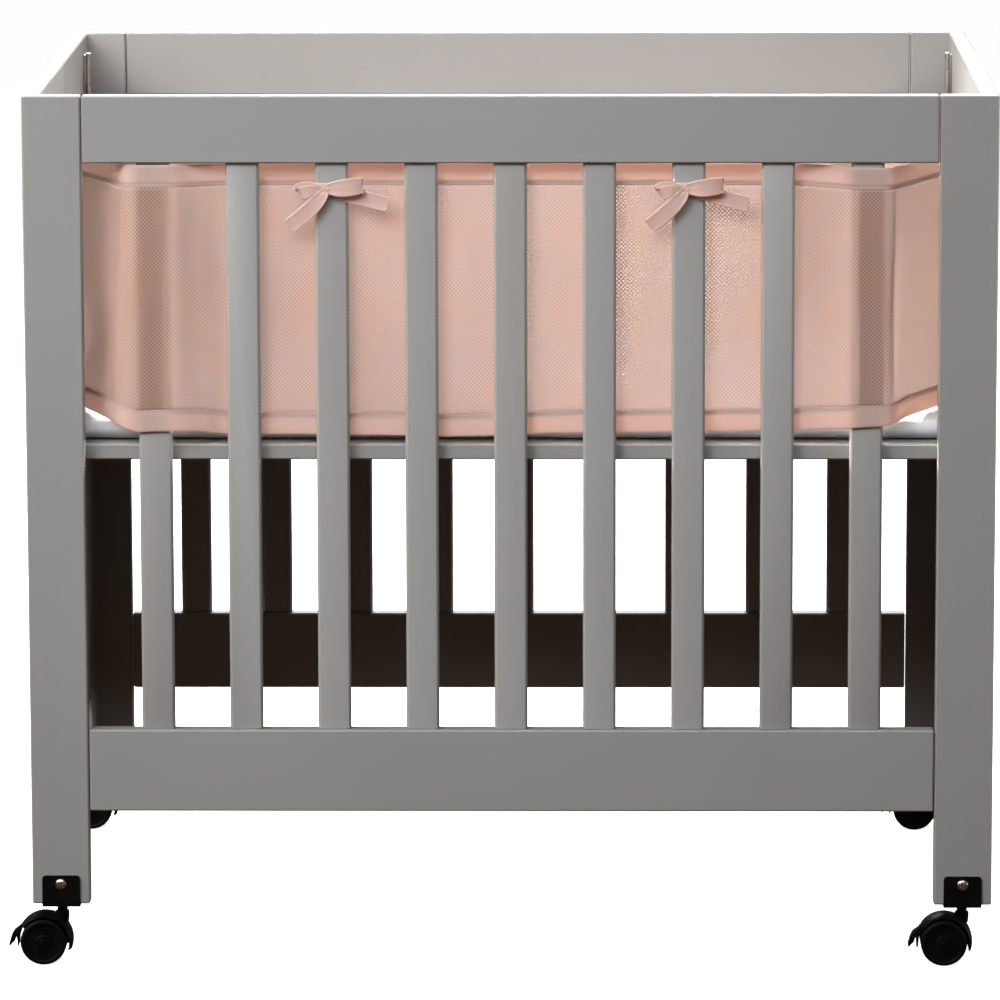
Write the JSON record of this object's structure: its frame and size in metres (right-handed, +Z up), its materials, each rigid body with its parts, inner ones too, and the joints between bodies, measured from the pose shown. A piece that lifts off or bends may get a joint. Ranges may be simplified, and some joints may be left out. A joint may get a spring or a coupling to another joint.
{
  "type": "crib bumper on a crib",
  "caption": "Soft mesh crib liner with bound edges and bow ties, tied inside a plain grey slatted mini crib on casters, with its pad.",
  "frame": {"origin": "on the floor, under the middle of the whole outline, brake levers included", "axes": "+X along the crib to the right as seen from the front, +Y to the back, +Z up"},
  "size_m": [1.024, 0.683, 0.909],
  "materials": {
    "painted_frame": "grey satin paint",
    "hinge_steel": "brushed",
    "bracket_black": "black powder coat",
    "caster_black": "moulded",
    "screw_nickel": "nickel plated",
    "white_sheet": "plain cotton weave",
    "mesh_cloth": "soft diamond-hole mesh",
    "binding_cloth": "folded edge binding",
    "tape_cloth": "flat tape"
  },
  "bodies": {
    "root": {"base_board": "painted_frame", "bottom_rail_back": "painted_frame", "bottom_rail_front": "painted_frame", "caster_body_back_left": "caster_black", "caster_body_back_right": "caster_black", "caster_body_front_left": "caster_black", "caster_body_front_right": "caster_black", "caster_bracket_back_left": "bracket_black", "caster_bracket_back_right": "bracket_black", "caster_bracket_front_left": "bracket_black", "caster_bracket_front_right": "bracket_black", "caster_screw_back_left": "screw_nickel", "caster_screw_back_right": "screw_nickel", "caster_screw_front_left": "screw_nickel", "caster_screw_front_right": "screw_nickel", "caster_wheels_back_left": "caster_black", "caster_wheels_back_right": "caster_black", "caster_wheels_front_left": "caster_black", "caster_wheels_front_right": "caster_black", "end_left_back": "painted_frame", "end_left_front": "painted_frame", "end_right_back": "painted_frame", "end_right_front": "painted_frame", "hinge_left_back": "hinge_steel", "hinge_left_front": "hinge_steel", "hinge_right_back": "hinge_steel", "hinge_right_front": "hinge_steel", "liner_bottom_binding": "binding_cloth", "liner_mesh": "mesh_cloth", "liner_top_binding": "binding_cloth", "pad": "white_sheet", "post_back_left": "painted_frame", "post_back_right": "painted_frame", "post_front_left": "painted_frame", "post_front_right": "painted_frame", "slat_back_1": "painted_frame", "slat_back_2": "painted_frame", "slat_back_3": "painted_frame", "slat_back_4": "painted_frame", "slat_back_5": "painted_frame", "slat_back_6": "painted_frame", "slat_back_7": "painted_frame", "slat_back_8": "painted_frame", "slat_back_9": "painted_frame", "slat_front_1": "painted_frame", "slat_front_2": "painted_frame", "slat_front_3": "painted_frame", "slat_front_4": "painted_frame", "slat_front_5": "painted_frame", "slat_front_6": "painted_frame", "slat_front_7": "painted_frame", "slat_front_8": "painted_frame", "slat_front_9": "painted_frame", "tie_back_left": "tape_cloth", "tie_back_right": "tape_cloth", "tie_front_left": "tape_cloth", "tie_front_right": "tape_cloth", "top_rail_back": "painted_frame", "top_rail_front": "painted_frame"}
  },
  "joints": []
}
